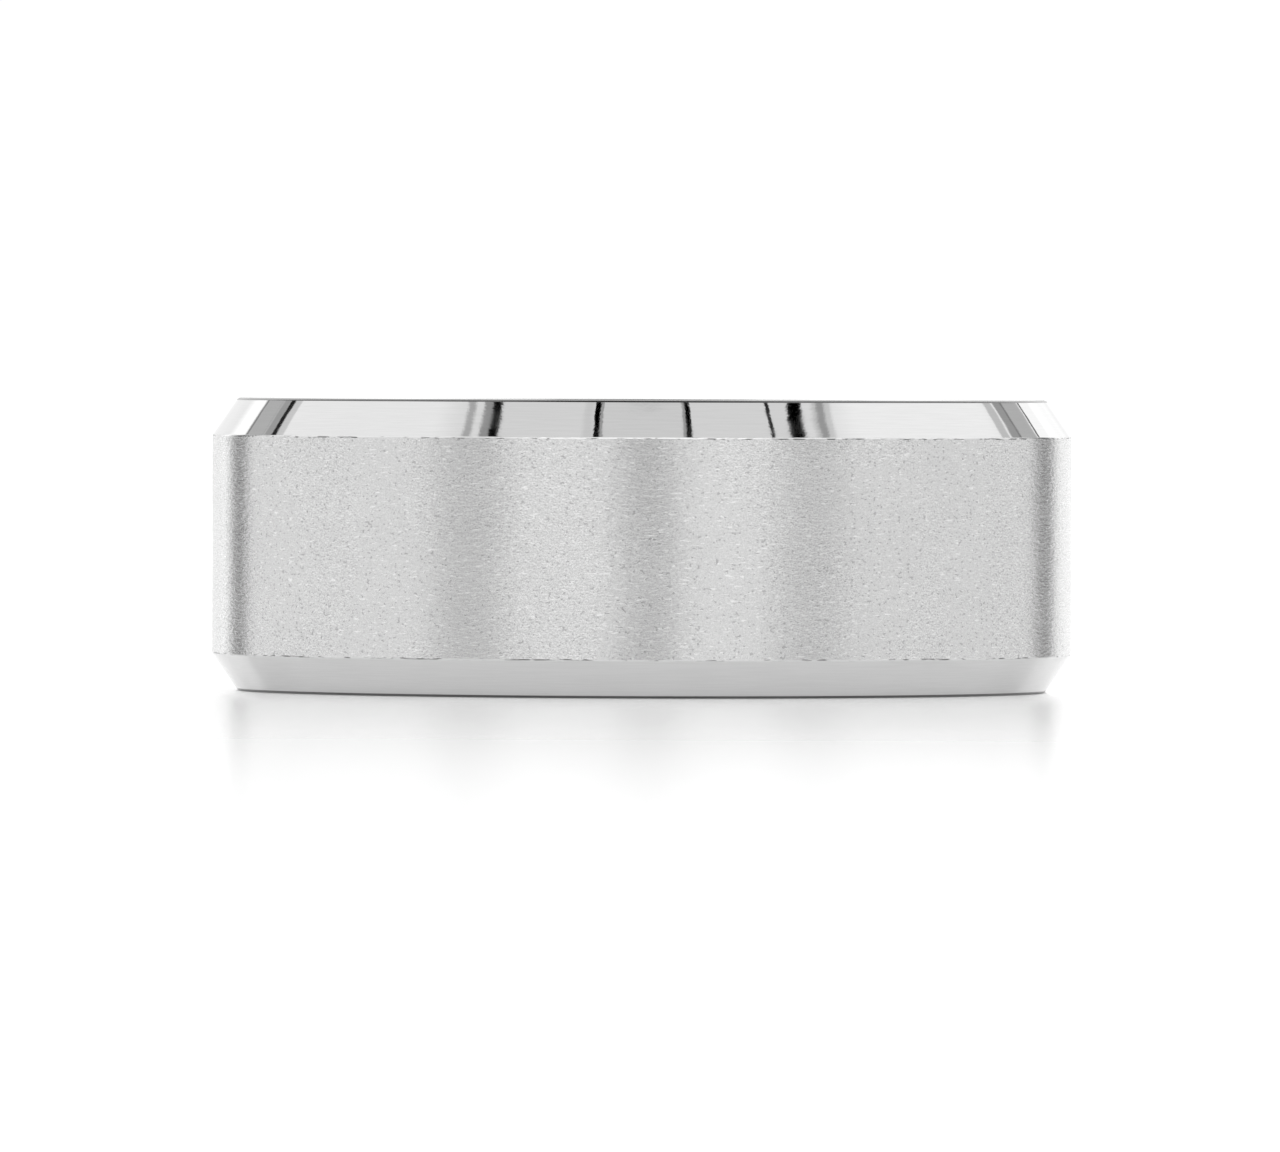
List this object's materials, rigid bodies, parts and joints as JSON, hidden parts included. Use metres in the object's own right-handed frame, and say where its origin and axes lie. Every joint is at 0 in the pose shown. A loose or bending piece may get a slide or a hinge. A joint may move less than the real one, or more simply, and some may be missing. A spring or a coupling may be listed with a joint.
{
  "type": "wedding band",
  "caption": "Man's flat wedding band with a satin belt, a polished bevel along each edge and a comfort-fit bore.",
  "frame": {"origin": "centre of the finger bore, half-way between the side faces", "axes": "+Z along the axis of the finger bore, so that the ring lies flat on its lower side face; the ring is the same all the way round, so +X and +Y are free"},
  "size_m": [0.0234, 0.0234, 0.008],
  "materials": {
    "band_metal": "white precious metal: satin belt with a fine grain round the ring, mirror-polished bevels, side faces and bore"
  },
  "bodies": {
    "root": {"band": "band_metal"}
  },
  "joints": []
}
